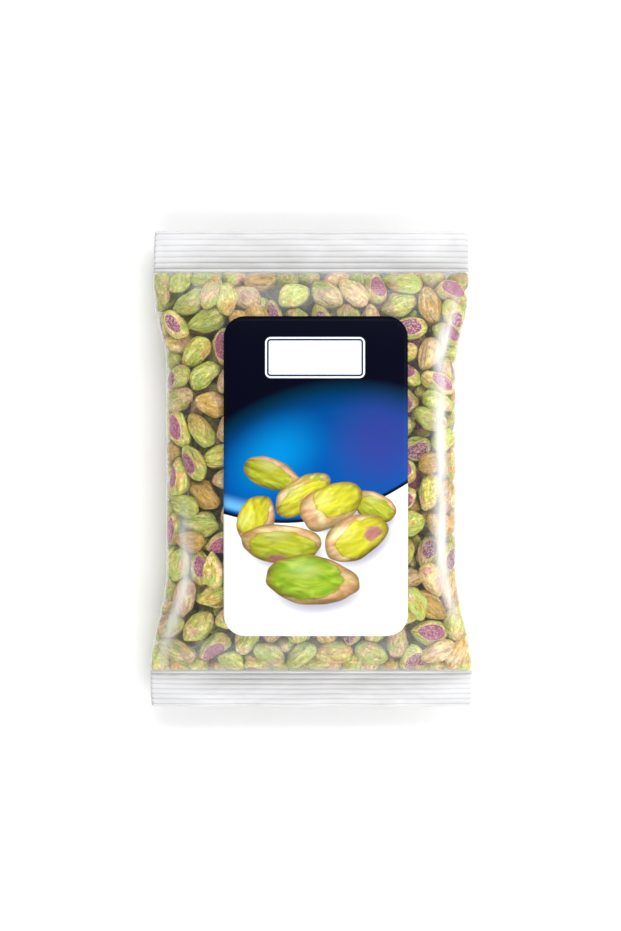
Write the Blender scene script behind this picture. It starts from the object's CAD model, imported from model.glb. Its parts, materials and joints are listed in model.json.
import json
import math

import bmesh
import bpy
import numpy as np
from bpy.props import FloatProperty, FloatVectorProperty, IntProperty, PointerProperty
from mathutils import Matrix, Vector, noise
from mathutils.bvhtree import BVHTree


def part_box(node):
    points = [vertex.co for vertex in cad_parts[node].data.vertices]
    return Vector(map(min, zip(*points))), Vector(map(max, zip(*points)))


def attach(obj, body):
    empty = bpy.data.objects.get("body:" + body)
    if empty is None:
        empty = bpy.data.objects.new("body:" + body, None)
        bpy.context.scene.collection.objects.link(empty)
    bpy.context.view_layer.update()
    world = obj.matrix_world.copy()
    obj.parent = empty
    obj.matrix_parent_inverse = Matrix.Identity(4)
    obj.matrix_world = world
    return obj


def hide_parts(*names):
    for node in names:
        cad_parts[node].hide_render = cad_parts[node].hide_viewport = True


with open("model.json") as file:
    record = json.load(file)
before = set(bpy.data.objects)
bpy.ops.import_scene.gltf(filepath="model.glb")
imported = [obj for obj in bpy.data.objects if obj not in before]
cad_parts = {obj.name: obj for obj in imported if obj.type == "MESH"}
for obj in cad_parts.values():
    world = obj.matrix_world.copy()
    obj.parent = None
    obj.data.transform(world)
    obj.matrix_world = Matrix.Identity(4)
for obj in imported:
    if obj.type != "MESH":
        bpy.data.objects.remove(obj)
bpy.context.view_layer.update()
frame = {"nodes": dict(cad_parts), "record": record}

bl_info = {
    "name": "Bag of Shelled Pistachios",
    "version": (1, 0, 0),
    "blender": (4, 5, 0),
    "location": "3D View > Sidebar > Pistachios",
    "description": "Builds a clear pillow bag full of shelled pistachio kernels, with its label and studio",
    "category": "Add Mesh",
}

MM = 0.001

# The bag's own shape, as the CAD has it. X runs across it, Y up to the top seal, Z out of the front.
BAG_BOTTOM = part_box("film_bag")[0].y
BAG_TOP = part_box("film_bag")[1].y
WAIST_WIDTH = 0.1217
BOTTOM_WIDTH = 0.1352
TOP_WIDTH = 0.1325
SEAL_HEIGHT = 0.0120
BOTTOM_SEAL = 0.0152
TOP_SEAL = 0.0176
BOTTOM_FLARE = 0.0430
TOP_FLARE = 0.0320
TOP_SHOULDER = 0.0080
END_POWER = 3.2
FRONT_POWER = 3.0
BACK_POWER = 3.4
HALF_EDGE = 0.000375
FRONT_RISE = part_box("film_bag")[1].z - SEAL_HEIGHT - HALF_EDGE
BACK_DROP = 1.25 * (SEAL_HEIGHT - HALF_EDGE)
BOTTOM_LINE = BAG_BOTTOM + BOTTOM_SEAL
TOP_LINE = BAG_TOP - TOP_SEAL
FILL_MIDDLE = (BOTTOM_LINE + TOP_LINE) / 2
FILL_HALF = (TOP_LINE - BOTTOM_LINE) / 2
LAP_WIDTH = 0.010
LAP_RISE = 0.0003
LAP_WHITENESS = 0.16
SEAL_THICKNESS = 0.0006
GROOVE_WIDTH = 0.00042
TUCK = 0.0010  # how far the film's body goes in between a seal's layers
FILM_CLEARANCE = 0.0002  # how far the kernels stay off the film

# The film's crinkles
LUMP_SPACING = 0.0110
PLEAT_SPACING = 0.0032
PLEAT_LENGTH = 0.030
PLEAT_REACH = 0.0045  # distance from a seal at which its pleats are highest
FOLD_HEIGHT = 0.0011
FOLD_REACH = 0.011  # how far the folds run in from the corners
SIDE_PLEAT_RISE = 0.0006
DEEPEST_DENT = 0.00005
HAZE_REACH = 0.0060  # how far the seals' whiteness runs into the clear film

# Long pleats down the front's sides, where the film is stretched white:
# side, inset, lower end, upper end, whiteness
SIDE_PLEATS = (
    (-1, 0.0078, -0.090, -0.010, 0.30),
    (1, 0.0064, -0.070, 0.078, 0.44),
)

# The label's place
LABEL_LOW, LABEL_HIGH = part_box("front_label")
LABEL_MIDDLE = (LABEL_LOW + LABEL_HIGH) / 2
LABEL_WIDTH = LABEL_HIGH.x - LABEL_LOW.x
LABEL_LENGTH = LABEL_HIGH.y - LABEL_LOW.y
LABEL_GAP = 0.0003  # from the smooth film to the label's back
LABEL_CELL = 0.0022  # how finely the label is cut to bend with the film

# The label's print, in millimetres from its middle
GLOW_MIDDLE = (14.0, -46.0, 0.0)
GLOW_RADIUS = 87.0
GLOW_FADE = 40.0
VIOLET_MIDDLE = (27.0, 14.0, 0.0)
VIOLET_RADIUS = 27.0
HEART_MIDDLE = (-17.0, 8.0, 0.0)
HEART_TURN = 35  # degrees
HEART_HALVES = (25.0, 17.0, 1.0)
SWEEP_MIDDLE = -5.0  # the curve between the blue and the bare paper
SWEEP_BEND = 0.0062
SWEEP_SLOPE = 0.105
SWEEP_HEIGHT = -18.6
PANEL_MIDDLE = (-0.3, 49.3, 0.0)
PANEL_HALVES = (18.4, 6.2, 0.0)  # without its round corners

# The four kinds of kernel, by the record's slots: share that is golden and share under pale coat
KERNEL_KINDS = {
    "kernel_green": (0.04, -0.04),
    "kernel_cream": (0.20, 0.34),
    "kernel_mauve": (0.05, 0.02),
    "kernel_gold": (0.75, 0.00),
}
SCARRED = 1.0  # a kernel with a bare mauve scar
BROKEN = 0.5  # a kernel that is broken open, yellow inside
BROKEN_EVERY = 6
GOLD_EVERY = 9
SHOWN_DEPTH = 0.0185  # kernels nearer than this to the front can show round the label
SIDE_DEPTH = 0.0085  # kernels nearer than this to the film can show at the sides and the back
KIND_ORDER = (  # the loose kernels' kinds in turn, apart from the golden ones
    "kernel_green",
    "kernel_mauve",
    "kernel_green",
    "kernel_cream",
    "kernel_mauve",
    "kernel_green",
)


def eased(share):
    """Smooth step from 0 to 1 as share goes from 0 to 1."""
    share = min(max(share, 0.0), 1.0)
    return share * share * (3 - 2 * share)


def superellipse(share, power):
    """Height of a unit superellipse's arc at a share of its half width."""
    return max(0.0, 1 - min(abs(share), 1.0) ** power) ** (1 / power)


def half_width(y):
    """Half the bag's width at y: narrow at the waist, wide at the seals."""
    low = eased(1 - (y - BOTTOM_LINE) / BOTTOM_FLARE)
    high = eased(1 - (TOP_LINE - TOP_SHOULDER - y) / TOP_FLARE)
    return (WAIST_WIDTH + (BOTTOM_WIDTH - WAIST_WIDTH) * low + (TOP_WIDTH - WAIST_WIDTH) * high) / 2


def swell(y):
    """Share of the full thickness at y: 0 in the seals and 1 in the middle."""
    return superellipse((y - FILL_MIDDLE) / FILL_HALF, END_POWER)


def front_z(x, y):
    """Height of the smooth front."""
    return SEAL_HEIGHT + HALF_EDGE + FRONT_RISE * swell(y) * superellipse(x / half_width(y), FRONT_POWER)


def back_z(x, y):
    """Height of the smooth back, flat where the bag lies on it."""
    bulge = BACK_DROP * swell(y) * superellipse(x / half_width(y), BACK_POWER)
    return max(0.0, SEAL_HEIGHT - HALF_EDGE - bulge)


# Settings


class FilmSettings(bpy.types.PropertyGroup):
    """Clear film and its crimped seals"""

    thickness: FloatProperty(
        name="Thickness", description="Thickness of the film",
        default=0.00012, min=0.00002, unit="LENGTH",
    )
    lumps: FloatProperty(
        name="Lumps", description="How far the kernels push the film out",
        default=0.00035, min=0, unit="LENGTH",
    )
    pleats: FloatProperty(
        name="Pleats", description="Height of the pleats beside the seals",
        default=0.00025, min=0, unit="LENGTH",
    )
    roughness: FloatProperty(
        name="Roughness", description="Roughness of the film's shine",
        default=0.30, min=0, max=1, subtype="FACTOR",
    )
    haze: FloatProperty(
        name="Haze", description="Whiteness of the film beside its seals",
        default=0.09, min=0, max=1, subtype="FACTOR",
    )
    ribs: IntProperty(name="Ribs", description="Ribs across each seal", default=7, min=1)
    rib_height: FloatProperty(
        name="Rib Height", description="Height of a rib", default=0.00022, min=0, unit="LENGTH"
    )
    colour: FloatVectorProperty(
        name="Seal Colour", description="Colour of the frosted seals",
        default=(0.70, 0.70, 0.718), subtype="COLOR",
    )


class KernelSettings(bpy.types.PropertyGroup):
    """Pistachio kernels"""

    loose: IntProperty(
        name="Loose Kernels", description="Kernels under those of the front",
        default=370, min=0,
    )
    length: FloatProperty(
        name="Length", description="Usual length of a kernel", default=0.0160, min=0.005, unit="LENGTH"
    )
    width: FloatProperty(
        name="Width", description="Usual width of a kernel", default=0.0098, min=0.003, unit="LENGTH"
    )
    thickness: FloatProperty(
        name="Thickness", description="Usual thickness of a kernel",
        default=0.0086, min=0.003, unit="LENGTH",
    )
    ridges: FloatProperty(
        name="Ridges", description="Height of the lengthwise ridges",
        default=0.00045, min=0, unit="LENGTH",
    )
    seed: IntProperty(name="Seed", description="Seed of the kernels' places and shapes", default=4)
    green: FloatVectorProperty(
        name="Green", description="Colour of fresh kernels",
        default=(0.48, 0.515, 0.045), subtype="COLOR",
    )
    gold: FloatVectorProperty(
        name="Gold", description="Colour of ripe kernels", default=(0.60, 0.34, 0.035), subtype="COLOR"
    )
    coat: FloatVectorProperty(
        name="Coat", description="Colour of the pale coat", default=(0.78, 0.57, 0.215), subtype="COLOR"
    )
    blush: FloatVectorProperty(
        name="Blush", description="Colour of the coat's pink patches",
        default=(0.54, 0.22, 0.19), subtype="COLOR",
    )
    mauve: FloatVectorProperty(
        name="Mauve", description="Colour of the scars", default=(0.25, 0.070, 0.130), subtype="COLOR"
    )


class LabelSettings(bpy.types.PropertyGroup):
    """Front label"""

    corner: FloatProperty(
        name="Corner", description="Radius of the label's corners",
        default=0.0088, min=0.001, unit="LENGTH",
    )
    sheet: FloatProperty(
        name="Sheet", description="Thickness of the label", default=0.00014, min=0.00002, unit="LENGTH"
    )
    night: FloatVectorProperty(
        name="Top Colour", description="Colour of the top",
        default=(0.0010, 0.0016, 0.0080), subtype="COLOR",
    )
    blue: FloatVectorProperty(
        name="Blue", description="Colour of the glow's body",
        default=(0.0, 0.075, 0.33), subtype="COLOR",
    )
    glow: FloatVectorProperty(
        name="Glow", description="Colour of the glow's middle",
        default=(0.0, 0.22, 0.56), subtype="COLOR",
    )
    paper: FloatVectorProperty(
        name="Paper", description="Colour of the bare paper",
        default=(0.93, 0.93, 0.93), subtype="COLOR",
    )


class StageSettings(bpy.types.PropertyGroup):
    """Studio floor, lights and camera"""

    lens: FloatProperty(name="Lens", description="Focal length in millimetres", default=180, min=20)
    frame_height: FloatProperty(
        name="Frame Height", description="Height that the camera frames",
        default=0.391, min=0.05, unit="LENGTH",
    )
    key: FloatProperty(
        name="Key Light", description="Power of the main light",
        default=19, min=0, unit="POWER",
    )
    fill: FloatProperty(
        name="Fill Light", description="Power of the fill light",
        default=17.5, min=0, unit="POWER",
    )
    strips: FloatProperty(
        name="Side Lights", description="Power of the right side light",
        default=2.1, min=0, unit="POWER",
    )
    world: FloatProperty(
        name="Surroundings", description="Strength of the surroundings",
        default=0.52, min=0,
    )
    floor: FloatVectorProperty(
        name="Floor", description="Colour of the floor", default=(0.90, 0.90, 0.90), subtype="COLOR"
    )


# Materials


class Look:
    """Builds one material's nodes in plain steps."""

    def __init__(self, name, tree=None):
        self.material = None
        if tree is None:
            self.material = bpy.data.materials.new(name)
            self.material.use_nodes = True
            tree = self.material.node_tree
            tree.nodes.clear()
        self.tree = tree

    def node(self, kind, inputs=None, **settings):
        """Adds a node, sets its settings, and sets or links its inputs."""
        made = self.tree.nodes.new(kind)
        for key, value in settings.items():
            setattr(made, key, value)
        for key, value in (inputs or {}).items():
            self.feed(made.inputs[key], value)
        return made

    def feed(self, socket, value):
        """Links a socket to another node's output, or sets its value."""
        if isinstance(value, bpy.types.NodeSocket):
            self.tree.links.new(value, socket)
        elif socket.type == "RGBA" and len(value) == 3:
            socket.default_value = (*value, 1.0)
        else:
            socket.default_value = value

    def math(self, operation, *values):
        """Output of a maths node."""
        made = self.node("ShaderNodeMath", operation=operation)
        for socket, value in zip(made.inputs, values):
            self.feed(socket, value)
        return made.outputs[0]

    def vector(self, operation, *values):
        """Output of a vector maths node."""
        made = self.node("ShaderNodeVectorMath", operation=operation)
        for socket, value in zip(made.inputs, values):
            self.feed(socket, value)
        return made.outputs["Value" if operation in ("LENGTH", "DISTANCE", "DOT_PRODUCT") else "Vector"]

    def mix(self, share, first, second, blend="MIX"):
        """The first colour with a share of the second."""
        made = self.node("ShaderNodeMix", data_type="RGBA", blend_type=blend)
        for socket, value in zip((made.inputs[0], made.inputs[6], made.inputs[7]), (share, first, second)):
            self.feed(socket, value)
        return made.outputs[2]

    def step(self, value, low, high, to_low=0.0, to_high=1.0):
        """Smooth step of value from low to high."""
        made = self.node("ShaderNodeMapRange", interpolation_type="SMOOTHSTEP")
        for socket, number in zip(made.inputs, (value, low, high, to_low, to_high)):
            self.feed(socket, number)
        return made.outputs[0]

    def noise(self, vector, scale, detail=3.0, distortion=0.0):
        """Noise about 0.5."""
        made = self.node("ShaderNodeTexNoise", {"Vector": vector, "Scale": scale, "Detail": detail})
        made.inputs["Distortion"].default_value = distortion
        return made.outputs["Fac"]

    def stretched(self, vector, scales, detail=3.0, distortion=0.0):
        """Noise with a scale of its own along each axis."""
        return self.noise(self.vector("MULTIPLY", vector, scales), 1.0, detail, distortion)

    def lines(self, value, middle, reach, on_line, off_line):
        """Thin lines where a value is at its middle."""
        away = self.math("ABSOLUTE", self.math("ADD", value, -middle))
        return self.step(away, 0.0, reach, on_line, off_line)

    def shaded(self, colour, light):
        """A colour times a grey."""
        grey = self.node("ShaderNodeCombineColor", {0: light, 1: light, 2: light}).outputs[0]
        return self.mix(1.0, colour, grey, "MULTIPLY")

    def ramp(self, value, *stops):
        """Colour by value, from pairs of a place and a colour."""
        made = self.node("ShaderNodeValToRGB", {"Fac": value})
        elements = made.color_ramp.elements
        while len(elements) < len(stops):
            elements.new(0.5)
        for element, (place, colour) in zip(elements, stops):
            element.position = place
            element.color = (*colour, 1.0)
        return made.outputs["Color"]

    def attribute(self, name, output="Fac"):
        """A value that the mesh stores at each vertex."""
        return self.node("ShaderNodeAttribute", attribute_name=name).outputs[output]

    def place(self):
        """The point in the object's own coordinates."""
        return self.node("ShaderNodeTexCoord").outputs["Object"]

    def bump(self, height, strength, distance):
        """Normal of a bumpy surface."""
        inputs = {"Height": height, "Strength": strength, "Distance": distance}
        return self.node("ShaderNodeBump", inputs).outputs[0]

    def finish(self, shader):
        """Links the shader to the material's output."""
        self.node("ShaderNodeOutputMaterial", {"Surface": shader})
        return self.material


def times(colour, share):
    """A colour made lighter or darker."""
    return tuple(min(1.0, value * share) for value in colour)


def film_look(settings):
    """Clear glossy film, whiter in its haze, where it is stretched and scuffed."""
    look = Look("clear_film")
    place = look.place()
    creases = look.noise(place, 240.0, 4.0, 0.6)
    bump = look.bump(creases, 0.12, 0.0004)
    gloss = look.node(
        "ShaderNodeBsdfGlossy", {"Color": (1.0, 1.0, 1.0), "Roughness": settings.roughness, "Normal": bump}
    )
    facing = look.node("ShaderNodeLayerWeight", {"Blend": 0.5, "Normal": bump}).outputs["Facing"]
    edge = look.math("MULTIPLY_ADD", look.math("POWER", facing, 5.0), 0.90, 0.025)
    clear = look.node("ShaderNodeBsdfTransparent", {"Color": (0.995, 0.995, 0.995)})
    bare = look.node("ShaderNodeMixShader", {0: edge, 1: clear.outputs[0], 2: gloss.outputs[0]})
    milky = look.node("ShaderNodeBsdfPrincipled", {"Base Color": (0.93, 0.94, 0.94), "Roughness": 0.35})
    streaks = look.stretched(place, (200.0, 45.0, 60.0), 4.0, 0.4)
    haze = look.math("MULTIPLY", look.attribute("haze"), look.step(streaks, 0.30, 0.70, 0.45, 1.15))
    share = look.math("MINIMUM", look.math("ADD", haze, 0.004), 0.9)
    film = look.node("ShaderNodeMixShader", {0: share, 1: bare.outputs[0], 2: milky.outputs[0]})
    return look.finish(film.outputs[0])


def seal_look(settings):
    """Crimped film: frosted white on its ribs, darker in the grooves between them."""
    look = Look("crimped_film")
    place = look.place()
    patches = look.stretched(place, (30.0, 90.0, 40.0), 3.0, 0.5)
    grain = look.stretched(place, (300.0, 2600.0, 300.0), 2.0)
    white = look.ramp(patches, (0.30, times(settings.colour, 0.93)), (0.62, settings.colour))
    grooved = look.math("MULTIPLY", look.attribute("groove"), look.step(patches, 0.3, 0.65, 0.95, 0.6))
    colour = look.mix(grooved, white, times(settings.colour, 0.66))
    body = look.node(
        "ShaderNodeBsdfPrincipled",
        {"Base Color": colour, "Roughness": 0.32, "Normal": look.bump(grain, 0.25, 0.0002)},
    )
    clear = look.node("ShaderNodeBsdfTransparent", {"Color": (0.97, 0.97, 0.97)})
    share = look.step(patches, 0.25, 0.65, 0.80, 0.92)
    seal = look.node("ShaderNodeMixShader", {0: share, 1: clear.outputs[0], 2: body.outputs[0]})
    return look.finish(seal.outputs[0])


def kernel_look(settings):
    """Kernel skin. It reads each kernel's own axes in millimetres, its tone, its ridges and its scar."""
    look = Look("kernel_skin")
    along = look.attribute("kernel_axes", "Vector")
    tone = look.node("ShaderNodeSeparateColor", {"Color": look.attribute("tone", "Color")})
    ripe, coated, scarred = tone.outputs
    shade = look.attribute("tone", "Alpha")
    relief = look.attribute("relief")
    scar = look.attribute("scar")

    streaks = look.stretched(along, (0.13, 0.75, 0.75), 5.0, 0.6)
    fine = look.stretched(along, (0.45, 2.6, 2.6), 4.0, 0.5)
    broad = look.noise(along, 0.125, 2.0, 0.5)
    blotches = look.noise(look.vector("ADD", along, (40.0, 7.0, 19.0)), 0.16, 2.0, 0.6)
    tinges = look.noise(look.vector("ADD", along, (11.0, 53.0, 29.0)), 0.22, 3.0, 0.6)
    mottle = look.noise(along, 0.8, 4.0, 0.4)
    depth = look.math("MULTIPLY_ADD", streaks, 0.85, 0.09)
    depth = look.math("ADD", look.math("MULTIPLY", relief, 0.15), depth)
    creases = look.lines(look.stretched(along, (0.16, 0.62, 0.62), 5.0, 1.2), 0.5, 0.030, 0.56, 1.0)

    green = look.ramp(
        depth,
        (0.28, times(settings.green, 0.36)),
        (0.41, times(settings.green, 0.82)),
        (0.54, settings.green),
        (0.72, (0.80, 0.77, 0.22)),
    )
    green = look.mix(look.step(tinges, 0.46, 0.66, 0.0, 0.75), green, (0.40, 0.55, 0.105))
    gold = look.ramp(
        depth,
        (0.28, (0.14, 0.050, 0.012)),
        (0.42, times(settings.gold, 0.72)),
        (0.58, settings.gold),
        (0.78, (0.74, 0.50, 0.16)),
    )
    coat = look.ramp(
        depth,
        (0.26, (0.30, 0.14, 0.08)),
        (0.42, (0.62, 0.38, 0.20)),
        (0.58, settings.coat),
        (0.76, (0.88, 0.77, 0.42)),
    )
    coat = look.mix(look.step(tinges, 0.48, 0.62, 0.0, 0.75), coat, settings.blush)
    ripeness = look.math("ADD", ripe, look.math("MULTIPLY_ADD", blotches, 1.6, -0.8))
    skin = look.mix(look.step(ripeness, 0.14, 0.50), green, gold)
    patchy = look.math("MULTIPLY_ADD", broad, 1.8, look.math("MULTIPLY_ADD", streaks, 0.5, -1.15))
    patchy = look.math("ADD", patchy, look.math("MULTIPLY_ADD", mottle, 0.35, -0.17))
    skin = look.mix(look.step(look.math("ADD", coated, patchy), 0.12, 0.36), skin, coat)
    mottled = look.step(mottle, 0.30, 0.62, 0.80, 1.06)

    speckle = look.noise(along, 1.3, 3.0, 0.2)
    mauve = look.ramp(
        speckle,
        (0.34, times(settings.mauve, 0.45)),
        (0.47, settings.mauve),
        (0.62, (0.62, 0.38, 0.37)),
    )
    mauve = look.mix(look.step(ripe, 0.0, 0.30), mauve, look.mix(0.6, mauve, (0.40, 0.05, 0.16)))
    inside = look.ramp(
        mottle,
        (0.30, (0.46, 0.40, 0.030)),
        (0.55, (0.72, 0.66, 0.060)),
        (0.75, (0.86, 0.82, 0.30)),
    )
    bare = look.mix(look.step(scarred, BROKEN, SCARRED), inside, mauve)
    faced = look.step(scarred, 0.0, BROKEN)
    ragged = look.math("ADD", scar, look.math("MULTIPLY", look.math("ADD", streaks, -0.5), 0.55))
    rim = look.math("MULTIPLY", look.step(ragged, -0.42, -0.12), faced)
    skin = look.mix(rim, skin, coat)
    veins = look.lines(look.stretched(along, (0.10, 0.85, 0.85), 3.0, 1.0), 0.5, 0.035, 0.42, 0.0)
    skin = look.mix(veins, skin, (0.86, 0.82, 0.46))
    face = look.math("MULTIPLY", look.step(ragged, -0.02, 0.12), faced)
    skin = look.mix(face, skin, bare)
    skin = look.shaded(skin, look.math("MULTIPLY", look.math("MULTIPLY", shade, mottled), creases))

    height = look.math("MULTIPLY_ADD", fine, 0.6, streaks)
    height = look.math("ADD", height, look.math("MULTIPLY", creases, 0.6))
    body = look.node(
        "ShaderNodeBsdfPrincipled",
        {
            "Base Color": skin,
            "Roughness": look.step(streaks, 0.3, 0.7, 0.56, 0.40),
            "Normal": look.bump(height, 0.55, 0.0005),
            "Specular IOR Level": 0.42,
            "Subsurface Weight": 0.06,
            "Subsurface Radius": (0.004, 0.003, 0.001),
            "Subsurface Scale": 0.5,
        },
    )
    return look.finish(body.outputs[0])


def printed_kernel_group():
    """Node group that draws one printed kernel: colour, how much it covers, and its shadow."""
    group = bpy.data.node_groups.new("printed_kernel", "ShaderNodeTree")
    sockets = (
        ("Place", "INPUT", "NodeSocketVector"),
        ("Skin", "INPUT", "NodeSocketColor"),
        ("Coat", "INPUT", "NodeSocketColor"),
        ("Coat Way", "INPUT", "NodeSocketVector"),
        ("Spot", "INPUT", "NodeSocketVector"),
        ("Colour", "OUTPUT", "NodeSocketColor"),
        ("Cover", "OUTPUT", "NodeSocketFloat"),
        ("Shadow", "OUTPUT", "NodeSocketFloat"),
    )
    for name, way, kind in sockets:
        group.interface.new_socket(name=name, in_out=way, socket_type=kind)
    look = Look("printed_kernel", group)
    given = look.node("NodeGroupInput").outputs
    place = given["Place"]
    parts = look.node("ShaderNodeSeparateXYZ", {0: place}).outputs
    narrow = look.math("MULTIPLY_ADD", parts[0], -0.14, 1.0)
    across = look.math("DIVIDE", parts[1], narrow)
    flat = look.node("ShaderNodeCombineXYZ", {0: parts[0], 1: across}).outputs[0]
    apart = look.vector("ADD", place, look.vector("MULTIPLY", given["Coat"], (9.0, 7.0, 5.0)))
    unlike = look.vector("ADD", apart, look.vector("MULTIPLY", given["Coat Way"], (4.0, 4.0, 4.0)))
    broad = look.math("ADD", look.noise(unlike, 0.95, 1.0), -0.5)
    reach = look.math("MULTIPLY_ADD", broad, 0.40, look.vector("LENGTH", flat))
    cover = look.step(reach, 1.0, 0.965)

    # Lit from above; each fold is light above and dark below, from two samples of the same noise
    height = look.math("SUBTRACT", 1.0, look.math("POWER", reach, 2.0))
    height = look.math("SQRT", look.math("MAXIMUM", height, 0.0))
    lit = look.math("MULTIPLY_ADD", height, 0.50, look.math("MULTIPLY_ADD", across, 0.20, 0.50))
    for stretch, deep in (((0.6, 1.1, 1.0), 1.5), ((1.5, 2.2, 1.0), 0.65)):
        above, below = (
            look.stretched(look.vector("ADD", unlike, shift), stretch, 2.0, 0.7)
            for shift in ((0.0, 0.0, 0.0), (-0.04, 0.13, 0.0))
        )
        lit = look.math("MULTIPLY_ADD", look.math("SUBTRACT", above, below), deep, lit)

    fresh = look.mix(look.step(above, 0.46, 0.70, 0.0, 0.30), given["Skin"], (0.70, 0.74, 0.12))
    fresh = look.mix(look.step(below, 0.48, 0.30, 0.0, 0.35), fresh, (0.42, 0.30, 0.04))
    ragged = look.math("ADD", look.noise(unlike, 1.9, 4.0, 0.6), -0.5)
    folds = look.lines(look.stretched(unlike, (0.7, 1.1, 1.0), 3.0, 0.9), 0.5, 0.050, 0.22, 0.0)
    from_coat = look.vector("LENGTH", look.vector("MULTIPLY_ADD", given["Coat Way"], (0.4, 0.4, 0.0), flat))
    toward = look.math("MULTIPLY_ADD", ragged, 0.42, look.math("SUBTRACT", from_coat, 0.56))
    blushed = look.mix(look.step(above, 0.42, 0.60, 0.0, 0.75), given["Coat"], (0.68, 0.33, 0.20))
    blushed = look.mix(look.step(ragged, 0.02, 0.16, 0.0, 0.6), blushed, (0.86, 0.76, 0.42))
    blushed = look.mix(look.step(ragged, -0.03, -0.15, 0.0, 0.6), blushed, (0.42, 0.25, 0.09))
    skin = look.mix(look.step(toward, 0.30, 0.42), fresh, blushed)
    skin = look.mix(look.lines(toward, 0.34, 0.045, 0.55, 0.0), skin, (0.28, 0.15, 0.04))
    skin = look.mix(folds, skin, (0.26, 0.20, 0.02))
    from_spot = look.math("MULTIPLY_ADD", ragged, 0.5, look.vector("DISTANCE", flat, given["Spot"]))
    skin = look.mix(look.step(from_spot, 0.36, 0.22, 0.0, 0.85), skin, (0.42, 0.12, 0.18))
    skin = look.mix(look.step(reach, 0.76, 1.0, 0.0, 0.80), skin, (0.30, 0.18, 0.04))
    colour = look.shaded(skin, lit)
    shine = look.step(look.vector("DISTANCE", flat, (-0.20, 0.42, 0.0)), 0.55, 0.0, 0.0, 0.16)
    colour = look.mix(shine, colour, (0.95, 0.96, 0.62))
    shadow = look.step(look.vector("LENGTH", look.vector("ADD", flat, (-0.12, 0.38, 0.0))), 1.30, 0.60)
    look.node("NodeGroupOutput", {"Colour": colour, "Cover": cover, "Shadow": shadow})
    return group


# The printed kernels, back to front: middle (mm), turn (degrees), half length and width (mm), skin colour,
# coat colour, the side where the coat shows, and the place of a dark spot, if any
GREEN_PRINT = (0.37, 0.41, 0.025)
YELLOW_PRINT = (0.58, 0.55, 0.03)
BRIGHT_PRINT = (0.23, 0.40, 0.02)
BEIGE_PRINT = (0.72, 0.53, 0.25)
PINK_PRINT = (0.76, 0.46, 0.28)
NO_SPOT = (5.0, 5.0)
PRINTED_KERNELS = (
    ((-18.1, 0.9), -20, (12.6, 6.4), GREEN_PRINT, PINK_PRINT, (0.45, 0.75), NO_SPOT),
    ((25.0, -12.8), -22, (9.0, 6.2), GREEN_PRINT, BEIGE_PRINT, (-0.20, 0.75), NO_SPOT),
    ((-4.9, -7.5), 31, (13.6, 7.0), YELLOW_PRINT, GREEN_PRINT, (0.20, 0.85), (0.10, -0.45)),
    ((6.9, -12.0), 28, (13.8, 8.9), YELLOW_PRINT, BEIGE_PRINT, (-1.05, -0.60), NO_SPOT),
    ((-24.9, -17.7), 62, (10.3, 7.9), YELLOW_PRINT, PINK_PRINT, (-0.35, -0.95), NO_SPOT),
    ((16.5, -25.7), 26, (14.4, 8.9), YELLOW_PRINT, BEIGE_PRINT, (-0.70, 0.55), (0.50, -0.15)),
    ((-13.5, -27.9), -5, (16.3, 8.6), GREEN_PRINT, BEIGE_PRINT, (-0.15, 0.80), (-0.05, -0.85)),
    ((-1.3, -43.5), -5, (19.0, 10.4), BRIGHT_PRINT, BEIGE_PRINT, (0.62, -0.38), NO_SPOT),
)


def own_place(look, place, middle, turn, halves):
    """A point in the coordinates of an oval: 1 from its middle at its rim."""
    inputs = {"Vector": place, "Location": middle, "Scale": halves}
    mapped = look.node("ShaderNodeMapping", inputs, vector_type="TEXTURE")
    mapped.inputs["Rotation"].default_value = (0.0, 0.0, math.radians(turn))
    return mapped.outputs[0]


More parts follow.
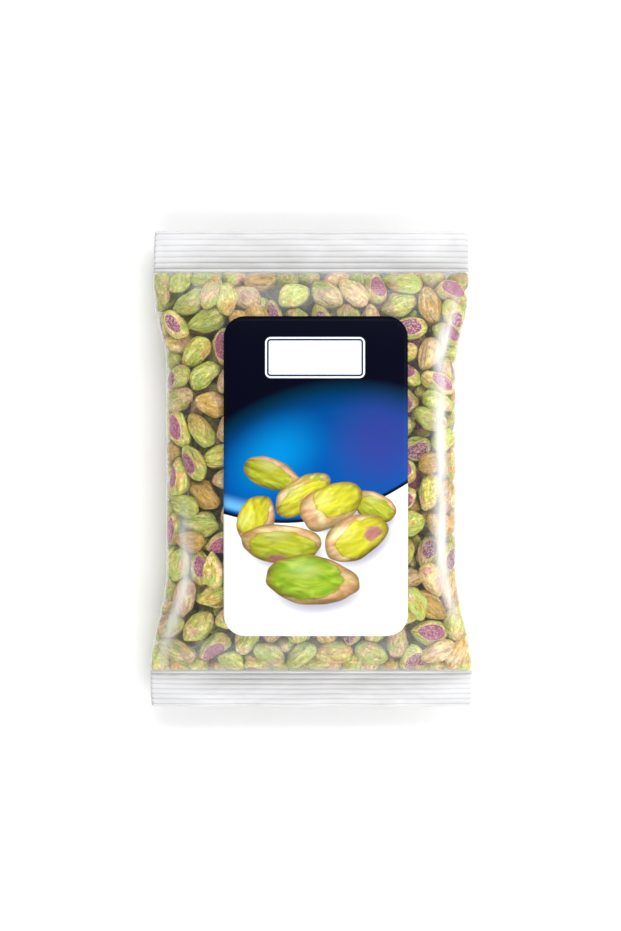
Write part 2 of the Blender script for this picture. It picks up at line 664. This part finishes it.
def label_look(settings):
    """The label's print: a blue glow on night blue, bare paper below, a plain panel and some kernels."""
    look = Look("label_print")
    centred = look.vector("SUBTRACT", look.place(), tuple(LABEL_MIDDLE))
    place = look.vector("MULTIPLY", centred, (1 / MM, 1 / MM, 0.0))
    across, up = look.node("ShaderNodeSeparateXYZ", {0: place}).outputs[:2]

    rise = look.math("SUBTRACT", GLOW_RADIUS, look.vector("DISTANCE", place, GLOW_MIDDLE))
    colour = look.ramp(
        look.math("DIVIDE", rise, GLOW_FADE),
        (0.0, settings.night),
        (0.10, (0.0, 0.020, 0.050)),
        (0.34, times(settings.blue, 0.72)),
        (0.75, settings.blue),
    )
    violet = look.step(look.vector("DISTANCE", place, VIOLET_MIDDLE), VIOLET_RADIUS, 3.0, 0.0, 0.62)
    colour = look.mix(violet, colour, (0.040, 0.030, 0.23))
    heart = look.vector("LENGTH", own_place(look, place, HEART_MIDDLE, HEART_TURN, HEART_HALVES))
    heart = look.step(heart, 1.15, 0.0)
    colour = look.mix(heart, colour, settings.glow)

    curve = look.math("POWER", look.math("SUBTRACT", across, SWEEP_MIDDLE), 2.0)
    curve = look.math("MULTIPLY_ADD", curve, SWEEP_BEND, SWEEP_HEIGHT)
    curve = look.math("MULTIPLY_ADD", across, SWEEP_SLOPE, curve)
    over = look.math("SUBTRACT", up, curve)
    rim_side = look.step(across, -14.0, -34.0)
    rim = look.math("MULTIPLY", look.step(over, 1.6, 4.0), look.step(over, 9.5, 4.4))
    rim = look.math("MULTIPLY", look.math("MULTIPLY", rim, rim_side), 0.75)
    colour = look.mix(rim, colour, (0.16, 0.52, 0.85))
    colour = look.mix(look.step(over, 2.2, 0.7), colour, settings.night)
    colour = look.mix(look.step(over, 0.25, -0.25), colour, settings.paper)

    group = printed_kernel_group()
    drawn = []
    for middle, turn, halves, skin, coat, way, spot in PRINTED_KERNELS:
        kernel = look.node("ShaderNodeGroup", node_tree=group)
        facts = {
            "Place": own_place(look, place, (*middle, 0.0), turn, (*halves, 1.0)),
            "Skin": skin,
            "Coat": coat,
            "Coat Way": (*way, 0.0),
            "Spot": (*spot, 0.0),
        }
        for name, value in facts.items():
            look.feed(kernel.inputs[name], value)
        drawn.append(kernel.outputs)
    below = look.step(over, 1.0, -2.0)
    for outputs in drawn:
        shadow = look.math("MULTIPLY", look.math("MULTIPLY", outputs["Shadow"], 0.75), below)
        colour = look.mix(shadow, colour, (0.24, 0.23, 0.33))
    for outputs in drawn:
        colour = look.mix(outputs["Cover"], colour, outputs["Colour"])

    colour = panel(look, place, colour, settings)
    fibres = look.noise(look.place(), 900.0, 3.0)
    body = look.node(
        "ShaderNodeBsdfPrincipled",
        {
            "Base Color": colour,
            "Roughness": 0.38,
            "Specular IOR Level": 0.04,
            "Normal": look.bump(fibres, 0.05, 0.0001),
        },
    )
    return look.finish(body.outputs[0])


def panel(look, place, colour, settings):
    """A plain panel near the label's top: white, with a thin dark frame line."""
    centred = look.vector("SUBTRACT", place, PANEL_MIDDLE)
    beyond = look.vector("SUBTRACT", look.vector("ABSOLUTE", centred), PANEL_HALVES)
    outside = look.vector("LENGTH", look.vector("MAXIMUM", beyond, (0.0, 0.0, 0.0)))
    colour = look.mix(look.step(outside, 2.45, 2.25), colour, settings.paper)
    line = look.math("MULTIPLY", look.step(outside, 0.75, 0.95), look.step(outside, 1.75, 1.55))
    return look.mix(line, colour, (0.006, 0.03, 0.09))


# Kernels


def noise_at(points, scale, seed):
    """Perlin noise at each point of an array."""
    shift = Vector((seed * 3.17, seed * 1.31, seed * 2.71))
    return np.array([noise.noise(Vector(point) + shift) for point in points * scale])


class Kernel:
    """One kernel: its place, its own axes, its size in metres and its kind."""

    FACETS = 7
    LUMP = 0.00085  # height of the broad lumps
    BEND = 0.0011  # how far the ends may bend aside from the middle
    SEAM_WIDTH = 0.085  # half the seam's width, in radians round the kernel
    SHRINK = 0.00025  # taken off all round, so that the ridges stay near the kernel's size

    def __init__(self, centre, axes, size, kind, seed):
        self.centre = centre
        self.axes = axes
        self.size = size
        self.kind = kind
        self.seed = seed
        self.from_film = 0.0
        self.face = 0.0
        if kind == "kernel_mauve":
            self.face = SCARRED
        elif kind == "kernel_green" and seed % BROKEN_EVERY == 1:
            self.face = BROKEN

    def facets(self, rng):
        """Flats pressed by the shell and the neighbours: direction, where each starts and how hard."""
        flats = []
        for _ in range(self.FACETS):
            lean = rng.normal(size=3) * (0.45, 1.0, 1.0)
            flats.append((lean / np.linalg.norm(lean), rng.uniform(0.74, 0.93), 0.85))
        if self.face:
            lean = np.array((rng.uniform(-0.15, 0.15), rng.uniform(-0.45, 0.45), 1.0))
            flats.insert(0, (lean / np.linalg.norm(lean), rng.uniform(0.66, 0.80), 0.92))
        return flats

    def shaped(self, ball, ridge_height):
        """Turns a unit ball's points into this kernel's: positions, own axes in mm, relief and scar."""
        rng = np.random.default_rng(self.seed)
        points = ball.copy()
        scar = np.full(len(ball), -1.0)
        for index, (lean, start, press) in enumerate(self.facets(rng)):
            over = points @ lean - start
            if index == 0 and self.face:
                scar = over / (1 - start)
            points -= np.outer(np.maximum(over, 0.0) * press, lean)

        # Longitudinal ridges and finer wrinkles run from end to end, and fade at the tips
        turn = np.arctan2(ball[:, 2], ball[:, 1])
        twist = turn + 0.5 * (ball[:, 0] + rng.uniform(-1, 1)) * rng.uniform(-1, 1)
        waist = np.stack([ball[:, 0] * 0.55, np.cos(twist) * 1.5, np.sin(twist) * 1.5], axis=1)
        crest = 1 - 2.6 * np.abs(noise_at(waist, 1.0, self.seed % 97))
        wrinkle = noise_at(waist, 2.6, self.seed % 89)
        lump = noise_at(ball, 1.25, self.seed % 83)
        fade = np.sqrt(np.clip(1 - ball[:, 0] ** 2, 0.04, 1))
        smooth = 1 - 0.8 * np.clip(scar * 4 + 0.3, 0, 1)
        relief = (0.6 * crest + 0.8 * wrinkle) * fade * smooth

        # The seam between the two halves
        seam_turn = rng.uniform(0, math.pi)
        off_seam = np.abs(np.sin(turn - seam_turn - 0.12 * ball[:, 0]))
        seam = np.exp(-((off_seam / self.SEAM_WIDTH) ** 2)) * rng.uniform(0.3, 1.0) * smooth
        push = ridge_height * (relief - 0.9 * seam) + self.LUMP * lump
        narrow = (1 - rng.uniform(0.06, 0.28) * points[:, 0]) * (1.03 - 0.12 * points[:, 0] ** 2)
        across = np.stack([1 + 0.03 * points[:, 0] ** 2, narrow, narrow], axis=1)
        body = points * across * np.array(self.size) / 2
        body[:, 1] += rng.uniform(-self.BEND, self.BEND) * (ball[:, 0] ** 2 - 0.4)
        body += ball * (push - self.SHRINK)[:, None]
        place = body @ self.axes.T + self.centre
        return place, body / MM, relief - 1.1 * seam, scar

    def tone(self):
        """Ripe share, coat share, kind of bare face and brightness."""
        rng = np.random.default_rng(self.seed + 5)
        ripe, coated = KERNEL_KINDS[self.kind]
        ripe = np.clip(ripe + rng.uniform(-0.15, 0.28), 0, 1)
        coated = np.clip(coated + rng.uniform(-0.12, 0.25), -0.1, 1)
        return ripe, coated, self.face, rng.uniform(0.74, 1.14)


def pressed(points, wall):
    """Keeps points inside the film, so that a kernel is flattened where it presses on it."""
    inside = points.copy()
    for index, point in enumerate(points):
        place, normal, _, _ = wall.find_nearest(Vector(point))
        if (place - Vector(point)).dot(normal) < FILM_CLEARANCE:
            inside[index] = place - normal * FILM_CLEARANCE
    inside[:, 1] = inside[:, 1].clip(BOTTOM_LINE + FILM_CLEARANCE, TOP_LINE - FILM_CLEARANCE)
    return inside


def kernel_piece(name, kernels, detail, settings, wall, material):
    """One mesh object of kernels, each shaped from a ball."""
    bm = bmesh.new()
    for _ in kernels:
        bmesh.ops.create_icosphere(bm, subdivisions=detail, radius=1.0)
    mesh = bpy.data.meshes.new(name)
    bm.to_mesh(mesh)
    bm.free()
    count = len(mesh.vertices) // len(kernels)
    ball = np.array([vert.co for vert in mesh.vertices[:count]])
    shaped = [kernel.shaped(ball, settings.ridges) for kernel in kernels]
    mesh.vertices.foreach_set("co", pressed(np.concatenate([made[0] for made in shaped]), wall).ravel())
    shifts = [np.array((kernel.seed % 31, kernel.seed % 17, kernel.seed % 13)) * 9.0 for kernel in kernels]
    axes = np.concatenate([made[1] + shift for made, shift in zip(shaped, shifts)])
    add_attribute(mesh, "kernel_axes", "FLOAT_VECTOR", "vector", axes)
    add_attribute(mesh, "relief", "FLOAT", "value", np.concatenate([made[2] for made in shaped]))
    add_attribute(mesh, "scar", "FLOAT", "value", np.concatenate([made[3] for made in shaped]))
    tones = np.concatenate([np.tile(kernel.tone(), (count, 1)) for kernel in kernels])
    add_attribute(mesh, "tone", "FLOAT_COLOR", "color", tones)
    mesh.shade_smooth()
    mesh.update()
    return finished(name, mesh, material)


def add_attribute(mesh, name, kind, field, values):
    """Stores a value for each vertex."""
    stored = mesh.attributes.new(name, kind, "POINT").data
    stored.foreach_set(field, np.ascontiguousarray(values, float).ravel())


def finished(name, mesh, material):
    """Links a mesh as an object that rides on the bag, with its material."""
    mesh.materials.append(material)
    made = bpy.data.objects.new(name, mesh)
    bpy.context.scene.collection.objects.link(made)
    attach(made, "root")
    return made


def front_kernels():
    """The kernels that show round the label, where and as large as the CAD has them."""
    slots = {part["node"]: part["material_slot"] for part in frame["record"]["subparts"]}
    kernels = {}
    for node in sorted(frame["nodes"]):
        if node.startswith("kernel_") and node != "kernel_bed":
            points = np.array([vert.co for vert in frame["nodes"][node].data.vertices])
            points = np.unique(points.round(7), axis=0)
            middle = points.mean(axis=0)
            axes = np.linalg.eigh(np.cov((points - middle).T))[1][:, ::-1]
            if axes[2, 2] < 0:
                axes[:, 2] *= -1
            if np.linalg.det(axes) < 0:
                axes[:, 1] *= -1
            spread = (points - middle) @ axes
            size = spread.max(axis=0) - spread.min(axis=0)
            centre = middle + axes @ (spread.max(axis=0) + spread.min(axis=0)) / 2
            kernels[node] = Kernel(centre, axes, size, slots[node], 100 + len(kernels))
    return kernels


class Heap:
    """Loose kernels that settle round the front ones, each carried on three balls."""

    STEPS = 260
    GROWING = 0.6  # share of the steps in which the kernels grow to full size
    WALL_GAP = -0.0007  # how far a kernel stays off the film; below 0, it is pressed flat on it
    DRAW = 0.00012  # how far each step draws a kernel towards the film
    CROWD = 0.72  # below 1, more kernels start near the bag's edges
    EDGE = 0.005  # no kernel starts nearer than this to the bag's edges
    SKIN = 0.004  # nor nearer than this to its front and back
    LISTING = 6  # steps between two listings of the pairs that are near each other
    LISTED = 0.004  # gap below which a pair is listed
    WIDEST = 0.016  # no pair farther apart than this can be near each other

    def __init__(self, fixed, settings, wall):
        self.rng = np.random.default_rng(settings.seed)
        self.wall = wall
        count = settings.loose
        usual = np.array((settings.length, settings.width, settings.thickness))
        loose_size = usual * self.rng.uniform(0.92, 1.07, (count, 3))
        self.size = np.concatenate([[kernel.size for kernel in fixed], loose_size])
        self.centre = np.concatenate([[kernel.centre for kernel in fixed], self.start(count)])
        turn = self.rng.normal(size=(count, 3)) * (1.0, 1.0, 0.5)
        axis = turn / np.linalg.norm(turn, axis=1)[:, None]
        self.axis = np.concatenate([[kernel.axes[:, 0] for kernel in fixed], axis])
        self.free = np.arange(len(self.centre)) >= len(fixed)
        middle = self.size[:, 1:].mean(axis=1) / 2
        self.radius = np.stack([0.84 * middle, middle, 0.84 * middle], axis=1)
        self.reach = self.size[:, 0] / 2 - 0.84 * middle

    def start(self, count):
        """Random places inside the bag, closer together towards its edges."""
        places = []
        while len(places) < count:
            across, along = (math.copysign(abs(u) ** self.CROWD, u) for u in self.rng.uniform(-1, 1, 2))
            y = FILL_MIDDLE + along * (FILL_HALF - self.EDGE)
            x = across * (half_width(y) - self.EDGE)
            low, high = back_z(x, y) + self.SKIN, front_z(x, y) - self.SKIN
            if high > low:
                places.append((x, y, self.rng.uniform(low, high)))
        return np.array(places).reshape(-1, 3)

    def neighbours(self, balls, radius):
        """Pairs of balls of different kernels that are near each other."""
        flat = balls.reshape(-1, 3).astype(np.float32)
        owner = np.repeat(np.arange(len(balls)), 3)
        first, second = np.triu_indices(len(flat), 1)
        near = np.abs(flat[first, 0] - flat[second, 0]) < self.WIDEST
        first, second = first[near], second[near]
        gap = np.linalg.norm(flat[first] - flat[second], axis=1)
        sizes = radius.reshape(-1)
        near = (gap < sizes[first] + sizes[second] + self.LISTED) & (owner[first] != owner[second])
        near &= self.free[owner[first]] | self.free[owner[second]]
        return first[near], second[near]

    def settle(self):
        """Grows and parts the kernels until they fill the bag side by side."""
        for step in range(self.STEPS):
            grown = 0.55 + 0.45 * min(1.0, step / (self.STEPS * self.GROWING))
            shift = self.reach[:, None] * self.axis * grown
            balls = np.stack([self.centre - shift, self.centre, self.centre + shift], axis=1)
            radius = self.radius * np.where(self.free, grown, 1.0)[:, None]
            if step % self.LISTING == 0:
                pairs = self.neighbours(balls, radius)
            moved = self.parted(balls, radius, *pairs)
            self.keep_in(moved, radius)
            self.centre[self.free] = moved[self.free].mean(axis=1)
            line = (moved[:, 2] - moved[:, 0])[self.free]
            self.axis[self.free] = line / np.linalg.norm(line, axis=1)[:, None]

    def parted(self, balls, radius, first, second):
        """Pushes apart the pairs that are too close."""
        flat = balls.reshape(-1, 3).copy()
        sizes = radius.reshape(-1)
        mobile = np.repeat(self.free, 3).astype(float)
        gap = flat[first] - flat[second]
        distance = np.linalg.norm(gap, axis=1) + 1e-9
        short = np.maximum(sizes[first] + sizes[second] - distance, 0)
        push = gap / distance[:, None] * (short / (mobile[first] + mobile[second]))[:, None]
        np.add.at(flat, first, push * mobile[first, None] * 0.8)
        np.add.at(flat, second, -push * mobile[second, None] * 0.8)
        return flat.reshape(balls.shape)

    def keep_in(self, balls, radius):
        """Keeps each loose ball inside the film, and draws it towards the film, which is pulled tight."""
        for kernel in np.nonzero(self.free)[0]:
            for index in range(3):
                ball = Vector(balls[kernel, index])
                place, normal, _, _ = self.wall.find_nearest(ball)
                room = (place - ball).dot(normal) - radius[kernel, index] - self.WALL_GAP
                balls[kernel, index] = ball + normal * min(room, self.DRAW)

    def kernels(self):
        """The loose kernels as they came to lie, with their flatter side to the nearest film."""
        made = []
        for index in np.nonzero(self.free)[0]:
            along = Vector(self.axis[index])
            _, outward, _, away = self.wall.find_nearest(Vector(self.centre[index]))
            across = outward.cross(along).normalized()
            axes = np.array((along, across, along.cross(across))).T
            kind = KIND_ORDER[index % len(KIND_ORDER)] if index % GOLD_EVERY else "kernel_gold"
            kernel = Kernel(self.centre[index], axes, self.size[index], kind, 1000 + int(index))
            kernel.from_film = away
            made.append(kernel)
        return made


# Film


def film_section(y):
    """The film's line at y, from the outer flap's edge round the front to the inner flap's edge.

    Returns X, Z and how much each point belongs to the front."""
    half = half_width(y)
    turn = np.linspace(0, math.pi / 2, 60)
    back = np.sin(turn)[1:] * half
    front = np.sin(np.linspace(-math.pi / 2, math.pi / 2, 160))[1:-1] * half
    inner = LAP_WIDTH / 2 + 0.0005
    right = back[::-1][back[::-1] > inner + 0.001]
    under = [inner + 0.0005, inner, 0, -LAP_WIDTH / 2]
    x = np.concatenate([[LAP_WIDTH / 2, 0], -back, front, right, under])
    flags = np.concatenate([np.zeros(len(back) + 2), np.ones(len(front)), np.zeros(len(right) + 4)])
    z = np.array([front_z(px, y) if flag else back_z(px, y) for px, flag in zip(x, flags)])
    z[-3:] += LAP_RISE
    return x, z, flags


def seal_distance(y):
    """Distance from the nearer seal."""
    return max(0.0, min(y - BOTTOM_LINE, TOP_LINE - y))


def off_label(x, y):
    """0 under the label, rising to 1 a little way outside it."""
    past_x = (abs(x - LABEL_MIDDLE.x) - LABEL_WIDTH / 2) / 0.006
    past_y = (abs(y - LABEL_MIDDLE.y) - LABEL_LENGTH / 2) / 0.006
    return eased(max(past_x, past_y))


def side_pleat(x, y):
    """Whiteness of the side pleats at a point of the front."""
    white = 0.0
    for side, inset, low, high, share in SIDE_PLEATS:
        wander = 0.0012 * noise.noise(Vector((y / 0.030, side, 6.0)))
        closer = 0.5 + 0.5 * eased((y - low) / 0.050)
        off = side * x - (half_width(y) - inset * closer + wander)
        width = 0.0018 if off > 0 else 0.0030
        ends = eased((y - low) / 0.020) * eased((high - y) / 0.020)
        white += share * math.exp(-((off / width) ** 2)) * ends
    return white


def crinkle(x, y, settings):
    """How far the film stands off its smooth shape: lumps over kernels, pleats, folds in the corners."""
    beside = seal_distance(y)
    inward = max(0.0, half_width(y) - abs(x))
    lumps = abs(noise.noise(Vector((x / LUMP_SPACING, y / LUMP_SPACING, 3.0)))) * settings.lumps * 2
    lumps *= eased(beside / 0.012) * eased(inward / 0.008)
    rise = beside / PLEAT_REACH
    pleat = noise.noise(Vector((x / PLEAT_SPACING, y / PLEAT_LENGTH, math.copysign(5.0, y))))
    pleat *= settings.pleats * rise * math.exp(1 - rise)
    corner = math.hypot(beside, inward * 0.8)
    fold_turn = math.atan2(beside, inward + 1e-6)
    fold = noise.noise(Vector((fold_turn * 4.0, math.copysign(9.0, x), math.copysign(2.0, y))))
    fold *= FOLD_HEIGHT * math.exp(-corner / FOLD_REACH) * eased(beside / 0.003) * eased(inward / 0.004)
    raised = lumps + pleat + fold + SIDE_PLEAT_RISE * side_pleat(x, y)
    return max(-DEEPEST_DENT, raised) * off_label(x, y)


def film_sheet(settings, around, stations, crinkled=True):
    """The film as one flat sheet, wrapped into the bag's tube, and the whiteness of each of its points."""
    bm = bmesh.new()
    bmesh.ops.create_grid(bm, x_segments=around, y_segments=stations, size=0.5)
    lines = {}
    low, high = BOTTOM_LINE - TUCK, TOP_LINE + TUCK
    hazes = []
    for vert in bm.verts:
        row = round(vert.co.y, 6)
        y = (low + high) / 2 + (high - low) / 2 * math.sin(math.pi * vert.co.y)
        if row not in lines:
            x, z, front = film_section(y)
            travelled = np.concatenate([[0], np.cumsum(np.hypot(np.diff(x), np.diff(z)))])
            lines[row] = (travelled / travelled[-1], x, z, front)
        travelled, line_x, line_z, front = lines[row]
        share = vert.co.x + 0.5
        x, z, side = (float(np.interp(share, travelled, line)) for line in (line_x, line_z, front))
        tucked = max(BOTTOM_LINE - y, y - TOP_LINE, 0.0) / TUCK
        z += (SEAL_HEIGHT - z) * 0.8 * tucked
        if crinkled:
            off = crinkle(x, y, settings)
            z += off * side + abs(off) * 0.5 * (1 - side)
        vert.co = Vector((x, y, z))
        lapped = (1 - side) * eased((LAP_WIDTH / 2 - abs(x)) / 0.0005)
        beside_seal = settings.haze * math.exp(-seal_distance(y) / HAZE_REACH)
        hazes.append(beside_seal + side * side_pleat(x, y) + LAP_WHITENESS * lapped)
    return bm, hazes


def inside_wall(settings):
    """The smooth film, for keeping kernels inside it."""
    bm, _ = film_sheet(settings, 90, 70, crinkled=False)
    bmesh.ops.triangulate(bm, faces=bm.faces)
    wall = BVHTree.FromBMesh(bm)
    bm.free()
    return wall


def film_piece(settings, material):
    """The clear part of the bag."""
    bm, hazes = film_sheet(settings, 230, 150)
    mesh = bpy.data.meshes.new("film_body")
    bm.to_mesh(mesh)
    bm.free()
    add_attribute(mesh, "haze", "FLOAT", "value", np.array(hazes))
    mesh.shade_smooth()
    film = finished("film_body", mesh, material)
    wall = film.modifiers.new("film", "SOLIDIFY")
    wall.thickness = settings.thickness
    wall.offset = -1.0
    return film


def seal_piece(name, edge, line, width, settings, material):
    """One crimped band: a corrugated strip with a slightly wavy cut edge."""
    bm = bmesh.new()
    steps = settings.ribs * 10
    bmesh.ops.create_grid(bm, x_segments=110, y_segments=steps, size=0.5)
    way = math.copysign(1.0, line - edge)
    grooves = []
    for vert in bm.verts:
        share = 0.5 + vert.co.y
        across = vert.co.x * 2
        wave = abs(math.sin(share * settings.ribs * math.pi))
        half = width / 2 - 0.0006 * (1 - share) ** 3 - 0.0002 * wave
        x = across * half
        cut = 0.00025 * (1 + noise.noise(Vector((x / 0.018, edge, 0.0)))) * (1 - share)
        round_corner = 0.0005 * max(0.0, (abs(across) - 0.975) / 0.025) ** 2 * (1 - share)
        y = edge + way * ((abs(line - edge) - 0.00005) * share + cut + round_corner + 0.00002)
        groove_share = abs((share * settings.ribs) % 1.0 - 0.5) / settings.ribs
        groove = math.exp(-((groove_share * abs(line - edge) / GROOVE_WIDTH) ** 2))
        z = SEAL_HEIGHT + settings.rib_height * (0.6 - 1.6 * groove)
        z += 0.00008 * noise.noise(Vector((x / 0.012, y / 0.012, 8.0)))
        vert.co = Vector((x, y, z))
        grooves.append(groove)
    bmesh.ops.recalc_face_normals(bm, faces=bm.faces)
    mesh = bpy.data.meshes.new(name)
    bm.to_mesh(mesh)
    bm.free()
    add_attribute(mesh, "groove", "FLOAT", "value", np.array(grooves))
    mesh.shade_smooth()
    seal = finished(name, mesh, material)
    wall = seal.modifiers.new("layers", "SOLIDIFY")
    wall.thickness = SEAL_THICKNESS
    wall.offset = 0.0
    return seal


# Operators


class PISTACHIO_OT_film(bpy.types.Operator):
    """Builds the clear film and its two crimped seals"""

    bl_idname = "pistachio.film"
    bl_label = "Film and Seals"

    def execute(self, context):
        settings = context.scene.pistachio_film
        film = film_piece(settings, film_look(settings))
        frosted = seal_look(settings)
        bottom = seal_piece("bottom_seal", BAG_BOTTOM, BOTTOM_LINE, BOTTOM_WIDTH, settings, frosted)
        top = seal_piece("top_seal", BAG_TOP, TOP_LINE, TOP_WIDTH, settings, frosted)
        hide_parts("film_bag")
        return {"FINISHED"}


class PISTACHIO_OT_kernels(bpy.types.Operator):
    """Builds the kernels that show at the front, and packs the loose ones under them"""

    bl_idname = "pistachio.kernels"
    bl_label = "Kernels"

    def execute(self, context):
        settings = context.scene.pistachio_kernels
        skin = kernel_look(settings)
        wall = inside_wall(context.scene.pistachio_film)
        front = front_kernels()
        for node, kernel in front.items():
            piece = kernel_piece(f"{node}_skin", [kernel], 5, settings, wall, skin)
            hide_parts(node)
        heap = Heap(list(front.values()), settings, wall)
        heap.settle()
        groups = {"bed_front": [], "bed_sides": [], "bed_core": []}
        for kernel in heap.kernels():
            groups[self.group(kernel)].append(kernel)
        for (name, kernels), detail in zip(groups.items(), (3, 2, 2)):
            if not kernels:
                raise RuntimeError(f"no kernels lie in {name}")
            piece = kernel_piece(name, kernels, detail, settings, wall, skin)
            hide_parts("kernel_bed")
        return {"FINISHED"}

    @staticmethod
    def group(kernel):
        """Kernels that show at the front are the finest, and those that nothing shows are the plainest."""
        x, y, z = kernel.centre
        if front_z(x, y) - z < SHOWN_DEPTH and off_label(x, y) > 0.0:
            return "bed_front"
        return "bed_sides" if kernel.from_film < SIDE_DEPTH else "bed_core"


class PISTACHIO_OT_label(bpy.types.Operator):
    """Builds the printed label on the front"""

    bl_idname = "pistachio.label"
    bl_label = "Label"

    def execute(self, context):
        settings = context.scene.pistachio_label
        bm = bmesh.new()
        bmesh.ops.create_grid(bm, x_segments=1, y_segments=1, size=0.5)
        for vert in bm.verts:
            vert.co = Vector((vert.co.x * LABEL_WIDTH, vert.co.y * LABEL_LENGTH, 0))
        bmesh.ops.translate(bm, verts=bm.verts, vec=(LABEL_MIDDLE.x, LABEL_MIDDLE.y, 0))
        bmesh.ops.bevel(
            bm,
            geom=bm.verts[:],
            offset=settings.corner,
            affect="VERTICES",
            segments=12,
            profile=0.5,
            material=-1,
        )
        for size, middle, normal in (
            (LABEL_WIDTH, LABEL_MIDDLE.x, Vector((1, 0, 0))),
            (LABEL_LENGTH, LABEL_MIDDLE.y, Vector((0, 1, 0))),
        ):
            cells = round(size / LABEL_CELL)
            for cell in range(1, cells):
                cut = normal * (middle + size * (cell / cells - 0.5))
                geom = [*bm.verts, *bm.edges, *bm.faces]
                bmesh.ops.bisect_plane(bm, geom=geom, plane_co=cut, plane_no=normal)
        bmesh.ops.triangulate(bm, faces=bm.faces)
        for vert in bm.verts:
            vert.co.z = front_z(vert.co.x, vert.co.y) + LABEL_GAP
        mesh = bpy.data.meshes.new("label")
        bm.to_mesh(mesh)
        bm.free()
        mesh.shade_smooth()
        label = finished("label", mesh, label_look(settings))
        sheet = label.modifiers.new("sheet", "SOLIDIFY")
        sheet.thickness = settings.sheet
        sheet.offset = 1.0
        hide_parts("front_label")
        return {"FINISHED"}


class PISTACHIO_OT_stage(bpy.types.Operator):
    """Builds the pale floor, the soft lights and the camera over the bag"""

    bl_idname = "pistachio.stage"
    bl_label = "Studio"

    def execute(self, context):
        settings = context.scene.pistachio_stage
        scene = context.scene
        scene.view_settings.view_transform = "Standard"
        self.floor(scene, settings)
        self.surroundings(scene, settings)
        for name, way, power in (("key_light", 1, settings.key), ("fill_light", -1, settings.fill)):
            self.light(scene, name, (0.22, way * 1.0, 1.05), (0, 0, 0), (1.7, 0.8), power)
        for name, side, share in (("left_light", -1, 0.3), ("right_light", 1, 1.0)):
            place = (side * 0.62, 0.0, 0.29)
            self.light(scene, name, place, (side * 0.05, 0, 0.02), (0.8, 0.34), settings.strips * share)
        self.camera(scene, settings)
        return {"FINISHED"}

    @staticmethod
    def floor(scene, settings):
        """A wide pale floor just under the bag."""
        bm = bmesh.new()
        bmesh.ops.create_grid(bm, x_segments=1, y_segments=1, size=4.0)
        bmesh.ops.translate(bm, verts=bm.verts, vec=(0, 0, -0.0003))
        mesh = bpy.data.meshes.new("floor")
        bm.to_mesh(mesh)
        bm.free()
        look = Look("floor")
        grain = look.noise(look.place(), 60.0, 2.0)
        pale = look.ramp(grain, (0.3, times(settings.floor, 0.985)), (0.7, settings.floor))
        body = look.node("ShaderNodeBsdfPrincipled", {"Base Color": pale, "Roughness": 0.8})
        mesh.materials.append(look.finish(body.outputs[0]))
        floor = bpy.data.objects.new("floor", mesh)
        scene.collection.objects.link(floor)

    @staticmethod
    def surroundings(scene, settings):
        """Even white surroundings, dimmer overhead."""
        world = bpy.data.worlds.new("studio")
        world.use_nodes = True
        look = Look("studio", world.node_tree)
        direction = look.node("ShaderNodeTexCoord").outputs["Generated"]
        height = look.node("ShaderNodeSeparateXYZ", {0: direction})
        strength = look.step(height.outputs[2], 0.0, 0.85, settings.world, settings.world * 0.55)
        background = world.node_tree.nodes["Background"]
        look.feed(background.inputs["Color"], (1.0, 1.0, 1.0))
        look.feed(background.inputs["Strength"], strength)
        scene.world = world

    @staticmethod
    def light(scene, name, place, target, size, power):
        """A soft rectangular light, turned to its target."""
        data = bpy.data.lights.new(name, "AREA")
        data.shape = "RECTANGLE"
        data.size, data.size_y = size
        data.energy = power
        lamp = bpy.data.objects.new(name, data)
        lamp.location = place
        lamp.rotation_euler = (Vector(target) - Vector(place)).to_track_quat("-Z", "Y").to_euler()
        scene.collection.objects.link(lamp)

    @staticmethod
    def camera(scene, settings):
        """A long lens straight over the bag."""
        data = bpy.data.cameras.new("camera")
        data.lens = settings.lens
        data.sensor_width = 36.0
        camera = bpy.data.objects.new("camera", data)
        away = settings.frame_height * settings.lens / data.sensor_width
        camera.location = (-0.0003, 0.0013, SEAL_HEIGHT + away)
        data.clip_end = 20.0
        scene.collection.objects.link(camera)
        scene.camera = camera


class PISTACHIO_PT_panel(bpy.types.Panel):
    """Lists the steps in order, with their settings"""

    bl_idname = "PISTACHIO_PT_panel"
    bl_label = "Pistachio Bag"
    bl_space_type = "VIEW_3D"
    bl_region_type = "UI"
    bl_category = "Pistachios"

    def draw(self, context):
        for operator, group in zip(OPERATORS, SETTINGS):
            box = self.layout.box()
            box.operator(operator.bl_idname)
            settings = getattr(context.scene, group)
            for name in settings.bl_rna.properties.keys():
                if name not in ("rna_type", "name"):
                    box.prop(settings, name)


OPERATORS = (PISTACHIO_OT_film, PISTACHIO_OT_kernels, PISTACHIO_OT_label, PISTACHIO_OT_stage)
SETTINGS = {
    "pistachio_film": FilmSettings,
    "pistachio_kernels": KernelSettings,
    "pistachio_label": LabelSettings,
    "pistachio_stage": StageSettings,
}
CLASSES = (*SETTINGS.values(), *OPERATORS, PISTACHIO_PT_panel)


def register():
    """Makes the settings, the operators and the panel known."""
    for cls in CLASSES:
        bpy.utils.register_class(cls)
    for name, group in SETTINGS.items():
        setattr(bpy.types.Scene, name, PointerProperty(type=group))


def unregister():
    """Undoes register."""
    for name in SETTINGS:
        delattr(bpy.types.Scene, name)
    for cls in reversed(CLASSES):
        bpy.utils.unregister_class(cls)


def main():
    """Builds everything in order."""
    register()
    bpy.ops.pistachio.film()
    bpy.ops.pistachio.kernels()
    bpy.ops.pistachio.label()
    bpy.ops.pistachio.stage()


if __name__ == "__main__":
    main()
